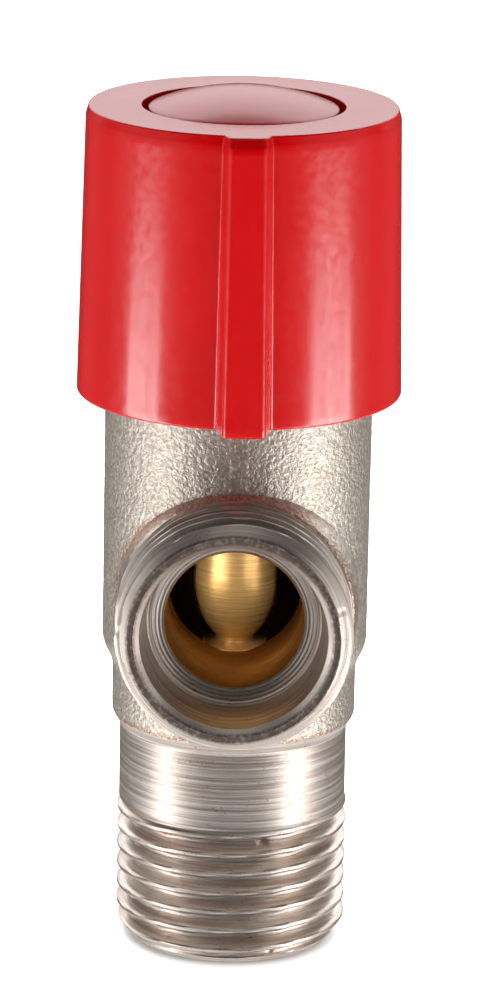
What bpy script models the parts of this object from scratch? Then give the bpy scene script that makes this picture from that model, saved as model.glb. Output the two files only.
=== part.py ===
"""Pressure relief valve with a G1/2 male inlet below, a G1/2 male outlet at the front and a red lift knob on top.

The valve axis is Z. The origin is on that axis, in the plane of the inlet's end. The outlet points along -Y.
Lengths below are millimetres and angles are degrees; MM turns a length into Blender's metres.
"""

import math

import bmesh
import bpy
from mathutils import Matrix, Vector

MM = 0.001
MERGE = 0.00001
FIT_GAP = 0.3

# G1/2 pipe thread, the same on the inlet and the outlet.
THREAD_CREST = 10.478
THREAD_ROOT = 9.316
THREAD_PITCH = 1.814
THREAD_FLANK = 27.5
THREAD_ROOT_FLAT = 0.30
THREAD_SEGMENTS = 22

# Body, from the inlet's end up.
INLET_CHAMFER_RADIUS = 8.97
THREAD_TOP = 13.0
NECK_RADIUS = 10.34
NECK_TOP = 20.2
FOOT_BASE = 21.4
FOOT_RADIUS = 11.05
FOOT_TOP = 26.1
BARREL_RADIUS = 12.0
BARREL_BASE = 28.1
BARREL_TOP = 64.0

# Passages inside the body.
INLET_BORE = 6.5
INLET_BORE_DEPTH = 16.5
ORIFICE = 3.0
SEAT_TOP = 25.7
SEAT_RIM = 0.5
SEAT_RELIEF = 0.6
GUIDE_BORE = 4.35
CHAMBER_FLOOR = 45.0
CHAMBER_BORE = 9.0
CHAMBER_CHAMFER = 1.4

# Outlet branch. Depths run back from the front plane.
OUTLET_HEIGHT = 34.0
OUTLET_REACH = 20.5
OUTLET_RIM = 9.3
OUTLET_THREAD_START = 9.0
POCKET_MOUTH = 8.8
POCKET_RADIUS = 8.2
POCKET_FLOOR_RADIUS = 7.7
POCKET_DEPTH = 6.3
PORT_RADIUS = 6.15
PORT_END_RADIUS = 6.0
PORT_DEPTH = 17.0
DRILL_HALF_ANGLE = 59.0

# Lifting train.
STEM_RADIUS = 2.0
STEM_BASE = 39.0
STEM_SHOULDER = 70.0
STEM_TIP_RADIUS = 1.5
STEM_TIP = 72.9
PLUNGER_RADIUS = 4.0
PLUNGER_BASE = 27.4
PLUNGER_FOOT_TOP = 28.0
NOSE_TOP = 34.6
NOSE_LENGTH = 6.8
NOSE_TIP_RADIUS = 1.7
O_RING_HEIGHT = 41.7
DISC_RADIUS = 3.9
DISC_THICKNESS = 1.4
SPRING_WIRE = 1.4
SPRING_RADIUS = 6.2
SPRING_BASE = 46.8
SPRING_TOP = 58.2
SPRING_ACTIVE_TURNS = 3.0

# Bonnet and cams.
BONNET_BASE = 61.9
BONNET_SEAT = 64.3
BONNET_TOP = 66.2
BONNET_RADIUS = 11.4
PLUG_RADIUS = 8.7
SLOT_WIDTH = 3.0
SLOT_DEPTH = 1.2
CAM_INNER = 5.4
CAM_OUTER = 8.8
CAM_BASE = 66.5
CAM_VALLEY = 67.4
CAM_LIFT = 2.0
CAM_LIFT_ANGLE = 60.0
CAM_TEETH = 4
CAM_BACKLASH = 1.5
FOLLOWER_TOP = 73.2

# Knob and its cap.
KNOB_TOP = 77.3
KNOB_BASE = 51.3
KNOB_TOP_RADIUS = 14.0
KNOB_BASE_RADIUS = 14.58
KNOB_EDGE = 0.5
KNOB_WALL = 1.5
KNOB_CEILING = 73.5
HUB_RADIUS = 4.9
HUB_BASE = 70.2
HUB_FLOOR = 72.7
SCREW_POCKET = 4.4
CAP_RECESS = 9.03
CAP_RECESS_FLOOR = 75.0
CAP_RADIUS = 8.5
CAP_RIM = 77.1
CAP_APEX = 78.85
POINTER_ANGLE = 1.85
POINTER_TOP_WIDTH = 4.0
POINTER_BASE_WIDTH = 4.6
POINTER_TOP_REACH = 1.2
POINTER_BASE_REACH = 3.0

NICKEL = ("nickel_plated_brass", (0.62, 0.58, 0.52), 1.0, 0.34)
BRASS = ("brass", (0.60, 0.42, 0.18), 1.0, 0.30)
STEEL = ("stainless_steel", (0.56, 0.56, 0.57), 1.0, 0.28)
RUBBER = ("black_rubber", (0.02, 0.02, 0.02), 0.0, 0.70)
RED = ("red_plastic", (0.72, 0.0, 0.01), 0.0, 0.22)
WHITE = ("white_acetal", (0.80, 0.80, 0.77), 0.0, 0.45)


def clear_scene():
    for obj in list(bpy.data.objects):
        bpy.data.objects.remove(obj, do_unlink=True)


def new_collection(name):
    collection = bpy.data.collections.new(name)
    bpy.context.scene.collection.children.link(collection)
    return collection


def finish_of(spec):
    """The Principled material of a (name, colour, metallic, roughness) tuple."""
    name, colour, metallic, roughness = spec
    found = bpy.data.materials.get(name)
    if found:
        return found
    made = bpy.data.materials.new(name)
    made.use_nodes = True
    shader = made.node_tree.nodes["Principled BSDF"]
    shader.inputs["Base Color"].default_value = (*colour, 1.0)
    shader.inputs["Metallic"].default_value = metallic
    shader.inputs["Roughness"].default_value = roughness
    return made


def new_object(name, mesh, spec, parent=None):
    """An object in the parts collection, or a hidden cutter when it has no finish."""
    obj = bpy.data.objects.new(name, mesh)
    if spec:
        PARTS.objects.link(obj)
        mesh.materials.append(finish_of(spec))
    else:
        CUTTERS.objects.link(obj)
        obj.hide_render = True
        obj.display_type = "WIRE"
    obj.parent = parent
    return obj


def lathe(name, outline, spec=None, base=0.0, segments=40, ring=False, phase=0.0, parent=None):
    """A turned solid. The (radius, height) outline runs down its outer side; a ring's outline closes on itself.

    The phase turns its facets, so that crossing cylinders don't meet edge to edge.
    """
    mesh = bpy.data.meshes.new(name)
    across = Vector((math.cos(math.radians(phase)), math.sin(math.radians(phase)), 0.0))
    points = [across * radius * MM + Vector((0, 0, height * MM)) for radius, height in outline]
    edges = [(i, i + 1) for i in range(len(points) - 1)]
    if ring:
        edges.append((len(points) - 1, 0))
    mesh.from_pydata(points, edges, [])
    obj = new_object(name, mesh, spec, parent)
    obj.location.z = base * MM
    screw = obj.modifiers.new("turn", "SCREW")
    screw.axis = "Z"
    screw.steps = segments
    screw.render_steps = segments
    screw.use_merge_vertices = True
    screw.merge_threshold = MERGE
    screw.use_smooth_shade = True
    return obj


def ring_outline(inner, outer, height, bevel=0.0):
    """The outline of a flat ring, its outer edges bevelled."""
    if not bevel:
        return [(outer, height), (outer, 0), (inner, 0), (inner, height)]
    return [
        (outer - bevel, height),
        (outer, height - bevel),
        (outer, bevel),
        (outer - bevel, 0),
        (inner, 0),
        (inner, height),
    ]


def box(name, size, centre, spec=None, parent=None):
    """An axis-aligned block, its size in its mesh."""
    mesh = bpy.data.meshes.new(name)
    shape = bmesh.new()
    bmesh.ops.create_cube(shape, size=1.0)
    bmesh.ops.scale(shape, vec=Vector(size) * MM, verts=shape.verts)
    shape.to_mesh(mesh)
    shape.free()
    obj = new_object(name, mesh, spec, parent)
    obj.location = Vector(centre) * MM
    return obj


def combine(target, other, operation):
    step = target.modifiers.new(f"{operation.lower()}_{other.name}", "BOOLEAN")
    step.operation = operation
    step.solver = "EXACT"
    step.object = other


def face_outlet(obj):
    """Turns a piece so that its own +Z runs out along the outlet's axis."""
    obj.location = (0.0, 0.0, OUTLET_HEIGHT * MM)
    obj.rotation_euler.x = math.radians(90)


def o_ring(name, ring_radius, cord_radius, height, parent=None):
    """A turned ring with a round section."""
    count = 8
    steps = [2 * math.pi * i / count for i in range(count)]
    outline = [
        (ring_radius + cord_radius * math.cos(a), -cord_radius * math.sin(a)) for a in steps
    ]
    return lathe(name, outline, RUBBER, height, 28, ring=True, parent=parent)


def thread_groove(name, bottom, top, phase):
    """A right-hand helical cutter, open from bottom to top, whose middle is at height bottom at the angle phase."""
    slope = math.tan(math.radians(THREAD_FLANK))
    half_root = THREAD_ROOT_FLAT / 2
    clear = THREAD_CREST + 0.1
    half_mouth = half_root + (clear - THREAD_ROOT) * slope
    outside = clear + 0.8
    section = [
        (outside, half_mouth),
        (outside, -half_mouth),
        (clear, -half_mouth),
        (THREAD_ROOT, -half_root),
        (THREAD_ROOT, half_root),
        (clear, half_mouth),
    ]
    steps = round((top - bottom) / THREAD_PITCH * THREAD_SEGMENTS)
    shape = bmesh.new()
    points = [shape.verts.new((radius * MM, 0.0, (bottom + height) * MM)) for radius, height in section]
    edges = [shape.edges.new(pair) for pair in zip(points, points[1:] + points[:1])]
    bmesh.ops.rotate(shape, verts=points, matrix=Matrix.Rotation(math.radians(phase), 3, "Z"))
    bmesh.ops.spin(
        shape,
        geom=points + edges,
        axis=(0, 0, 1),
        cent=(0, 0, 0),
        dvec=(0, 0, THREAD_PITCH / THREAD_SEGMENTS * MM),
        angle=2 * math.pi * steps / THREAD_SEGMENTS,
        steps=steps,
    )
    open_edges = [edge for edge in shape.edges if edge.is_boundary]
    bmesh.ops.holes_fill(shape, edges=open_edges, sides=0)
    bmesh.ops.recalc_face_normals(shape, faces=shape.faces)
    mesh = bpy.data.meshes.new(name)
    shape.to_mesh(mesh)
    shape.free()
    return new_object(name, mesh, None)


def make_body():
    body = lathe("body", forging_outline(), NICKEL)
    shank = lathe("inlet_shank", inlet_outline(), segments=2 * THREAD_SEGMENTS, phase=1.1)
    combine(shank, thread_groove("inlet_groove", -THREAD_PITCH, THREAD_TOP + 0.3, 0), "DIFFERENCE")
    combine(body, shank, "UNION")
    branch = lathe("outlet_branch", branch_outline(), segments=2 * THREAD_SEGMENTS, phase=2.3)
    groove = thread_groove("outlet_groove", OUTLET_THREAD_START, OUTLET_REACH + THREAD_PITCH, 90)
    combine(branch, groove, "DIFFERENCE")
    combine(body, branch, "UNION")
    combine(body, lathe("valve_bores", bores_outline(), phase=3.1), "DIFFERENCE")
    port = lathe("outlet_port", port_outline(), phase=1.7)
    combine(body, port, "DIFFERENCE")
    for piece in (branch, groove, port):
        face_outlet(piece)
    return body


def forging_outline():
    """The solid outside of the forging from its barrel down to its neck."""
    return [
        (0, BARREL_TOP),
        (BARREL_RADIUS - 0.6, BARREL_TOP),
        (BARREL_RADIUS, BARREL_TOP - 0.6),
        (BARREL_RADIUS, BARREL_BASE),
        (FOOT_RADIUS, FOOT_TOP),
        (FOOT_RADIUS, FOOT_BASE),
        (NECK_RADIUS, NECK_TOP),
        (NECK_RADIUS, THREAD_TOP + 0.13),
        (THREAD_ROOT - 0.5, THREAD_TOP - 0.43),
        (0, THREAD_TOP - 0.43),
    ]


def inlet_outline():
    """The inlet's shank before its thread is cut; its top is hidden in the neck."""
    hidden = NECK_RADIUS - 0.25
    return [
        (0, THREAD_TOP + 1.5),
        (hidden, THREAD_TOP + 1.5),
        (hidden, THREAD_TOP + 0.6),
        (THREAD_CREST, THREAD_TOP + 0.2),
        (THREAD_CREST, THREAD_CREST - INLET_CHAMFER_RADIUS),
        (INLET_CHAMFER_RADIUS, 0),
        (0, 0),
    ]


def branch_outline():
    """The outlet branch before its thread is cut, from inside the barrel to its front plane."""
    inner_end = 5.0
    return [
        (0, OUTLET_REACH),
        (OUTLET_RIM, OUTLET_REACH),
        (THREAD_CREST, OUTLET_REACH - (THREAD_CREST - OUTLET_RIM)),
        (THREAD_CREST, inner_end),
        (0, inner_end),
    ]


def bores_outline():
    """Everything drilled along the valve axis, as one cutter."""
    past = 1.0
    cone = (INLET_BORE - ORIFICE) / math.tan(math.radians(DRILL_HALF_ANGLE))
    return [
        (0, BARREL_TOP + past),
        (CHAMBER_BORE + CHAMBER_CHAMFER + past, BARREL_TOP + past),
        (CHAMBER_BORE, BARREL_TOP - CHAMBER_CHAMFER),
        (CHAMBER_BORE, CHAMBER_FLOOR),
        (GUIDE_BORE, CHAMBER_FLOOR),
        (GUIDE_BORE, SEAT_TOP - SEAT_RELIEF),
        (ORIFICE + SEAT_RIM, SEAT_TOP - SEAT_RELIEF),
        (ORIFICE + SEAT_RIM - 0.1, SEAT_TOP),
        (ORIFICE, SEAT_TOP),
        (ORIFICE, INLET_BORE_DEPTH + cone),
        (INLET_BORE, INLET_BORE_DEPTH),
        (INLET_BORE, 1.0),
        (INLET_BORE + 1.0 + past, -past),
        (0, -past),
    ]


def port_outline():
    """The outlet's pocket, bore and drill point, as one cutter."""
    past = 1.0
    front = OUTLET_REACH
    flare = POCKET_MOUTH - POCKET_RADIUS
    drill_start = front - PORT_DEPTH
    cone = PORT_END_RADIUS / math.tan(math.radians(DRILL_HALF_ANGLE))
    return [
        (0, front + past),
        (POCKET_MOUTH + past, front + past),
        (POCKET_RADIUS, front - flare),
        (POCKET_FLOOR_RADIUS, front - POCKET_DEPTH),
        (PORT_RADIUS, front - POCKET_DEPTH),
        (PORT_END_RADIUS, drill_start),
        (0, drill_start - cone),
    ]


def make_bonnet():
    bore = 3.7
    height = BONNET_TOP - BONNET_BASE
    seat = BONNET_SEAT - BONNET_BASE
    outline = [
        (BONNET_RADIUS - 0.4, height),
        (BONNET_RADIUS, height - 0.4),
        (BONNET_RADIUS, seat),
        (PLUG_RADIUS, seat),
        (PLUG_RADIUS, 0.5),
        (PLUG_RADIUS - 0.5, 0),
        (bore, 0),
        (bore, height),
    ]
    bonnet = lathe("bonnet", outline, BRASS, BONNET_BASE, ring=True)
    length = 2 * BONNET_RADIUS + 4
    slot = box("bonnet_slot", (length, SLOT_WIDTH, 2 * SLOT_DEPTH), (0, 0, BONNET_TOP))
    combine(bonnet, slot, "DIFFERENCE")
    o_ring("bonnet_o_ring", 9.4, 0.4, 63.7)
    make_bush()


def make_bush():
    """The stem's guide, dropped into the bonnet from above."""
    inner = STEM_RADIUS + 0.1
    outline = [
        (4.4, 5.1),
        (4.4, 4.5),
        (3.4, 4.5),
        (3.4, 0),
        (inner, 0),
        (inner, 5.1),
    ]
    lathe("stem_bush", outline, WHITE, 62.0, 32, ring=True)


def make_spring_stack():
    """The pieces round the stem that set the opening pressure."""
    outline = ring_outline(3.2, PLUG_RADIUS, 2.0, 0.3)
    ring = lathe("adjusting_ring", outline, BRASS, 59.4, ring=True)
    slot = box("adjusting_slot", (2 * PLUG_RADIUS + 2, 2.0, 1.6), (0, 0, 61.4))
    combine(ring, slot, "DIFFERENCE")
    lathe("spring_washer", ring_outline(2.6, 7.6, 0.6), STEEL, 58.5, 36, ring=True)
    make_spring()


def spring_height(turn, turns, closed_pitch, pitch):
    """Height of the wire's centre after a number of turns, the first and last turn being closed."""
    low = min(turn, 1.0) * closed_pitch
    middle = min(max(turn - 1.0, 0.0), turns - 2.0) * pitch
    high = max(turn - (turns - 1.0), 0.0) * closed_pitch
    return low + middle + high


def make_spring():
    turns = SPRING_ACTIVE_TURNS + 2
    closed_pitch = SPRING_WIRE + 0.06
    travel = SPRING_TOP - SPRING_BASE - SPRING_WIRE
    pitch = (travel - 2 * closed_pitch) / SPRING_ACTIVE_TURNS
    per_turn = 18
    count = round(turns * per_turn) + 1
    curve = bpy.data.curves.new("spring", "CURVE")
    curve.dimensions = "3D"
    curve.bevel_depth = SPRING_WIRE / 2 * MM
    curve.bevel_resolution = 1
    curve.use_fill_caps = True
    spline = curve.splines.new("POLY")
    spline.points.add(count - 1)
    for i in range(count):
        turn = i / per_turn
        angle = 2 * math.pi * turn
        height = spring_height(turn, turns, closed_pitch, pitch)
        spline.points[i].co = (
            SPRING_RADIUS * math.cos(angle) * MM,
            SPRING_RADIUS * math.sin(angle) * MM,
            (SPRING_WIRE / 2 + height) * MM,
            1.0,
        )
    spring = new_object("spring", curve, STEEL)
    spring.location.z = SPRING_BASE * MM


def make_lifter(parent):
    """Everything that rises with the stem, except what turns with the knob."""
    make_plunger(parent)
    make_seat_disc(parent)
    outline = [
        (4.6, 2.5),
        (4.6, 1.2),
        (7.4, 1.2),
        (7.4, 0),
        (2.3, 0),
        (2.3, 2.5),
    ]
    lathe("spring_seat", outline, BRASS, 45.3, 36, ring=True, parent=parent)
    make_stem(parent)
    circlip = lathe("stem_circlip", ring_outline(1.75, 3.2, 0.6), STEEL, 48.1, 32, ring=True, parent=parent)
    combine(circlip, box("circlip_gap", (2.4, 4, 2), (0, -2.6, 48.4)), "DIFFERENCE")
    washer = ring_outline(1.35, 3.8, 0.5)
    lathe("knob_washer", washer, STEEL, 72.95, 32, ring=True, parent=parent)
    make_screw("knob_screw", 2.6, 1.4, 1.1, 7.0, 73.55, parent)


def make_plunger(parent):
    """The guide's plunger: a cylinder with a round nose, and a foot that backs the seat disc."""
    groove = 0.55
    top = CHAMBER_FLOOR
    hole = 2.3
    sweep = math.acos(NOSE_TIP_RADIUS / PLUNGER_RADIUS)
    count = 6
    nose = [
        (
            PLUNGER_RADIUS * math.cos(sweep * i / count),
            NOSE_TOP - NOSE_LENGTH * math.sin(sweep * i / count),
        )
        for i in range(count + 1)
    ]
    outline = [
        (PLUNGER_RADIUS - 0.3, top),
        (PLUNGER_RADIUS, top - 0.3),
        (PLUNGER_RADIUS, O_RING_HEIGHT + groove),
        (3.25, O_RING_HEIGHT + groove),
        (3.25, O_RING_HEIGHT - groove),
        (PLUNGER_RADIUS, O_RING_HEIGHT - groove),
        *nose,
        (NOSE_TIP_RADIUS, PLUNGER_FOOT_TOP),
        (DISC_RADIUS, PLUNGER_FOOT_TOP),
        (DISC_RADIUS, PLUNGER_BASE),
        (1.1, PLUNGER_BASE),
        (1.1, PLUNGER_BASE + 5),
        (0, PLUNGER_BASE + 5.4),
        (0, STEM_BASE - 0.5),
        (hole, STEM_BASE - 0.3),
        (hole, top),
    ]
    lathe("plunger", outline, BRASS, segments=32, ring=True, parent=parent)
    o_ring("plunger_o_ring", 3.75, 0.42, O_RING_HEIGHT, parent)


def make_seat_disc(parent):
    base = SEAT_TOP + 0.1
    disc = ring_outline(1.1, DISC_RADIUS, DISC_THICKNESS)
    lathe("seat_disc", disc, RUBBER, base, 32, ring=True, parent=parent)
    lathe("disc_washer", ring_outline(1.1, 2.5, 0.5), STEEL, base - 0.6, 32, ring=True, parent=parent)
    make_screw("disc_screw", 1.7, 1.2, 0.85, 6.5, base - 0.7, parent, upside_down=True)


def make_stem(parent):
    groove_base = 47.95
    outline = [
        (1.2, STEM_TIP),
        (STEM_TIP_RADIUS, STEM_TIP),
        (STEM_TIP_RADIUS, STEM_SHOULDER),
        (STEM_RADIUS, STEM_SHOULDER - 0.2),
        (STEM_RADIUS, groove_base + 0.9),
        (1.55, groove_base + 0.9),
        (1.55, groove_base),
        (STEM_RADIUS, groove_base),
        (STEM_RADIUS, STEM_BASE + 0.4),
        (STEM_RADIUS - 0.4, STEM_BASE),
        (0, STEM_BASE),
        (0, 65.6),
        (1.2, 66.0),
    ]
    lathe("stem", outline, BRASS, segments=24, ring=True, parent=parent)


def make_screw(name, head_radius, head_height, shank_radius, shank_length, seat, parent, upside_down=False):
    """A pan-head screw with a cross recess. Its shank hangs from the seat height, or stands up from it."""
    outline = [
        (0, head_height),
        (head_radius * 0.7, head_height),
        (head_radius, head_height * 0.6),
        (head_radius, 0),
        (shank_radius, 0),
        (shank_radius, -shank_length + 0.4),
        (shank_radius - 0.4, -shank_length),
        (0, -shank_length),
    ]
    screw = lathe(name, outline, STEEL, seat, 24, parent=parent)
    arm = head_radius * 1.1
    depth = head_height * 0.5
    for turn in (0, 90):
        slot = box(f"{name}_slot_{turn}", (arm, head_radius * 0.28, 2 * depth), (0, 0, head_height))
        slot.rotation_euler.z = math.radians(turn)
        slot.parent = screw
        combine(screw, slot, "DIFFERENCE")
    if upside_down:
        screw.rotation_euler.x = math.pi


def cam_height(angle):
    """Height of the fixed cam's teeth above their valleys: a ramp, then a level crest."""
    pitch = 360 / CAM_TEETH
    along = angle % pitch
    return CAM_LIFT * min(along / CAM_LIFT_ANGLE, 1.0)


def cam_angles():
    """The angles where the cam's surface is sampled; each tooth's drop has two that nearly meet."""
    pitch = 360 / CAM_TEETH
    step = 7.5
    count = int(pitch / step)
    angles = []
    for tooth in range(CAM_TEETH):
        angles += [tooth * pitch + step * i for i in range(count)]
        angles.append((tooth + 1) * pitch - 0.4)
    return angles


def toothed_ring(name, lower, upper, spec, parent=None):
    """A ring between two surfaces, each a function of the angle, in heights above the inlet's end."""
    shape = bmesh.new()
    columns = []
    for angle in cam_angles():
        turn = math.radians(angle)
        across = (math.cos(turn) * MM, math.sin(turn) * MM)
        corners = []
        for radius, height in (
            (CAM_OUTER, upper(angle)),
            (CAM_OUTER, lower(angle)),
            (CAM_INNER, lower(angle)),
            (CAM_INNER, upper(angle)),
        ):
            corners.append(shape.verts.new((radius * across[0], radius * across[1], height * MM)))
        columns.append(corners)
    for here, there in zip(columns, columns[1:] + columns[:1]):
        for i in range(4):
            j = (i + 1) % 4
            shape.faces.new((here[i], here[j], there[j], there[i]))
    bmesh.ops.recalc_face_normals(shape, faces=shape.faces)
    mesh = bpy.data.meshes.new(name)
    shape.to_mesh(mesh)
    shape.free()
    return new_object(name, mesh, spec, parent)


def make_cam_ring():
    """The fixed cam, keyed into the bonnet's slot."""
    ring = toothed_ring("cam_ring", lambda a: CAM_BASE, lambda a: CAM_VALLEY + cam_height(a), WHITE)
    reach = (CAM_OUTER - CAM_INNER) - 0.8
    middle = (CAM_OUTER + CAM_INNER) / 2
    width = SLOT_WIDTH - 2 * FIT_GAP
    for side in (-1, 1):
        size = (reach, width, SLOT_DEPTH + 0.6)
        key = box(f"cam_key_{side}", size, (side * middle, 0, CAM_BASE - 0.2))
        combine(ring, key, "UNION")


def make_follower(parent):
    """The knob's cam, lying in the fixed cam's teeth at rest and slotted for the knob's ribs."""
    ring = toothed_ring(
        "cam_follower",
        lambda a: CAM_VALLEY + FIT_GAP + cam_height(a),
        lambda a: FOLLOWER_TOP,
        WHITE,
        parent,
    )
    ring.rotation_euler.z = math.radians(CAM_BACKLASH)
    for turn in (45, 135):
        slot = box(f"follower_slot_{turn}", (2 * CAM_OUTER + 2, 1.6, 3.4), (0, 0, FOLLOWER_TOP))
        slot.rotation_euler.z = math.radians(turn)
        combine(ring, slot, "DIFFERENCE")


def make_knob(parent):
    outline = knob_outline()
    knob = lathe("knob", outline, RED, segments=48, ring=True, parent=parent)
    combine(knob, pointer_form(), "UNION")
    for turn in (45, 135):
        for side in (-1, 1):
            add_knob_rib(knob, turn, side)
    make_cap(parent)


def knob_outline():
    """The knob's wall, top and hub; the hub's floor has a hole for the stem's tip."""
    tip_hole = STEM_TIP_RADIUS + 0.3
    inner_base = KNOB_BASE_RADIUS - KNOB_WALL
    inner_top = KNOB_TOP_RADIUS - KNOB_WALL
    edge = [
        (
            KNOB_TOP_RADIUS - KNOB_EDGE * (1 - math.sin(math.radians(a))),
            KNOB_TOP - KNOB_EDGE * (1 - math.cos(math.radians(a))),
        )
        for a in (0, 30, 60, 90)
    ]
    return [
        (CAP_RECESS, KNOB_TOP),
        *edge,
        (KNOB_BASE_RADIUS, KNOB_BASE + 0.2),
        (KNOB_BASE_RADIUS - 0.2, KNOB_BASE),
        (inner_base, KNOB_BASE),
        (inner_top, KNOB_CEILING - 0.5),
        (inner_top - 0.5, KNOB_CEILING),
        (HUB_RADIUS, KNOB_CEILING),
        (HUB_RADIUS, HUB_BASE),
        (tip_hole, HUB_BASE),
        (tip_hole, HUB_FLOOR),
        (SCREW_POCKET, HUB_FLOOR),
        (SCREW_POCKET, CAP_RECESS_FLOOR),
        (CAP_RECESS, CAP_RECESS_FLOOR),
    ]


def pointer_form():
    """The tapered rib down the front of the knob, lofted between its top and its foot."""
    inset = 1.0
    sections = (
        (KNOB_TOP - 0.05, KNOB_TOP_RADIUS, POINTER_TOP_WIDTH - 0.4, POINTER_TOP_REACH - 0.4),
        (KNOB_TOP - 0.5, KNOB_TOP_RADIUS, POINTER_TOP_WIDTH, POINTER_TOP_REACH),
        (KNOB_BASE + 0.3, KNOB_BASE_RADIUS, POINTER_BASE_WIDTH, POINTER_BASE_REACH),
        (KNOB_BASE, KNOB_BASE_RADIUS, POINTER_BASE_WIDTH - 0.3, POINTER_BASE_REACH - 0.3),
    )
    shape = bmesh.new()
    loops = []
    for height, radius, width, reach in sections:
        front = radius + reach
        half = width / 2
        outline = (
            (-half, radius - inset),
            (-half * 0.93, front - 0.4),
            (-half * 0.82, front),
            (half * 0.82, front),
            (half * 0.93, front - 0.4),
            (half, radius - inset),
        )
        loops.append([shape.verts.new((x * MM, -y * MM, height * MM)) for x, y in outline])
    for upper, lower in zip(loops, loops[1:]):
        count = len(upper)
        for i in range(count):
            j = (i + 1) % count
            shape.faces.new((upper[i], upper[j], lower[j], lower[i]))
    shape.faces.new(loops[0])
    shape.faces.new(loops[-1])
    bmesh.ops.recalc_face_normals(shape, faces=shape.faces)
    mesh = bpy.data.meshes.new("pointer_form")
    shape.to_mesh(mesh)
    shape.free()
    pointer = new_object("pointer_form", mesh, None)
    pointer.rotation_euler.z = math.radians(POINTER_ANGLE)
    return pointer


def add_knob_rib(knob, turn, side):
    """One rib under the knob's top, which keys the follower to it."""
    inner = HUB_RADIUS - 0.6
    outer = KNOB_TOP_RADIUS - KNOB_WALL + 0.5
    thickness = 1.0
    low = FOLLOWER_TOP - 1.4
    height = KNOB_CEILING + 0.5 - low
    angle = math.radians(turn + (180 if side < 0 else 0))
    middle = (inner + outer) / 2
    centre = (middle * math.cos(angle), middle * math.sin(angle), low + height / 2)
    rib = box(f"knob_rib_{turn}_{side}", (outer - inner, thickness, height), centre)
    rib.rotation_euler.z = angle
    combine(knob, rib, "UNION")


def make_cap(parent):
    """The domed cap that hides the knob's screw, with a snap ring under it."""
    rise = CAP_APEX - CAP_RIM
    sphere = (CAP_RADIUS**2 + rise**2) / (2 * rise)
    count = 5
    sweep = math.asin(CAP_RADIUS / sphere)
    dome = [
        (sphere * math.sin(sweep * i / count), CAP_APEX - sphere * (1 - math.cos(sweep * i / count)))
        for i in range(count + 1)
    ]
    underside = CAP_RECESS_FLOOR + FIT_GAP
    outline = [
        *dome,
        (CAP_RADIUS, underside),
        (SCREW_POCKET - FIT_GAP, underside),
        (SCREW_POCKET - FIT_GAP, underside - 1.3),
        (3.3, underside - 1.3),
        (3.3, underside + 0.4),
        (0, underside + 0.4),
    ]
    lathe("knob_cap", outline, RED, segments=36, parent=parent)


def axis_empty(name, parent=None):
    empty = bpy.data.objects.new(name, None)
    PARTS.objects.link(empty)
    empty.parent = parent
    return empty


def shade_round():
    """Smooth shading, kept sharp at real edges."""
    for obj in PARTS.objects:
        if obj.type == "MESH":
            obj.data.shade_smooth()
            obj.data.set_sharp_from_angle(angle=math.radians(35))


clear_scene()
PARTS = new_collection("pressure_relief_valve")
CUTTERS = new_collection("cutters")
lifter_axis = axis_empty("lifter_axis")
knob_axis = axis_empty("knob_axis", lifter_axis)
make_body()
make_bonnet()
make_spring_stack()
make_cam_ring()
make_lifter(lifter_axis)
make_follower(knob_axis)
make_knob(knob_axis)
shade_round()
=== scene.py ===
"""The looks of the pressure relief valve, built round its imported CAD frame.

The frame's own axes are kept: the valve stands on its inlet, its axis is Z, and the outlet points along -Y.
Turned shapes are (radius, height) outlines in millimetres; MM turns a length into Blender's metres.
"""

import math

import bpy
import numpy as np
from mathutils import Matrix, Vector


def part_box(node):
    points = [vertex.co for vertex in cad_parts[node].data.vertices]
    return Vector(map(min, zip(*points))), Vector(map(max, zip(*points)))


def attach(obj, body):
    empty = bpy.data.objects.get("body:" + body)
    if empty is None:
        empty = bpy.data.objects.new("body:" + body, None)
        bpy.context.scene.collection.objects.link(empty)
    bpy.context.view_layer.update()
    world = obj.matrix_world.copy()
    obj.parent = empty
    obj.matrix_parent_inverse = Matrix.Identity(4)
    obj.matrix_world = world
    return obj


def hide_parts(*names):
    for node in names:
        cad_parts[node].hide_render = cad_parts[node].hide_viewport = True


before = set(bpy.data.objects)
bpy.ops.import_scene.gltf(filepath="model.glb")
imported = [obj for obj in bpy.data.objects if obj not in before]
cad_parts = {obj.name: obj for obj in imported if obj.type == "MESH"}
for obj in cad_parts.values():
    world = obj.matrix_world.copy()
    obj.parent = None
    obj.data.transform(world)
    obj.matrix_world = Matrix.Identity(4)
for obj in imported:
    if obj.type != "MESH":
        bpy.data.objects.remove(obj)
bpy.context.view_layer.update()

MM = 0.001
COLUMNS = 384

# G1/2 pipe thread.
CREST = 10.478
ROOT = 9.316
PITCH = 1.814
SHARP_DEPTH = 0.9605 * PITCH
ROW_STEP = 0.09
GROOVE_RUN_OUT = 1.1
THREAD_END_BLEND = 0.5

# Where round its axis each thread starts, in turns.
INLET_THREAD_PHASE = 0.852
OUTLET_THREAD_PHASE = 0.35

# Row spacing of the forging's skin.
SKIN_STEP = 0.2


def millimetres(node, corner, axis):
    """One coordinate of a CAD node's box; corner 0 is the lowest and 1 the highest."""
    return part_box(node)[corner]["xyz".index(axis)] / MM


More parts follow.
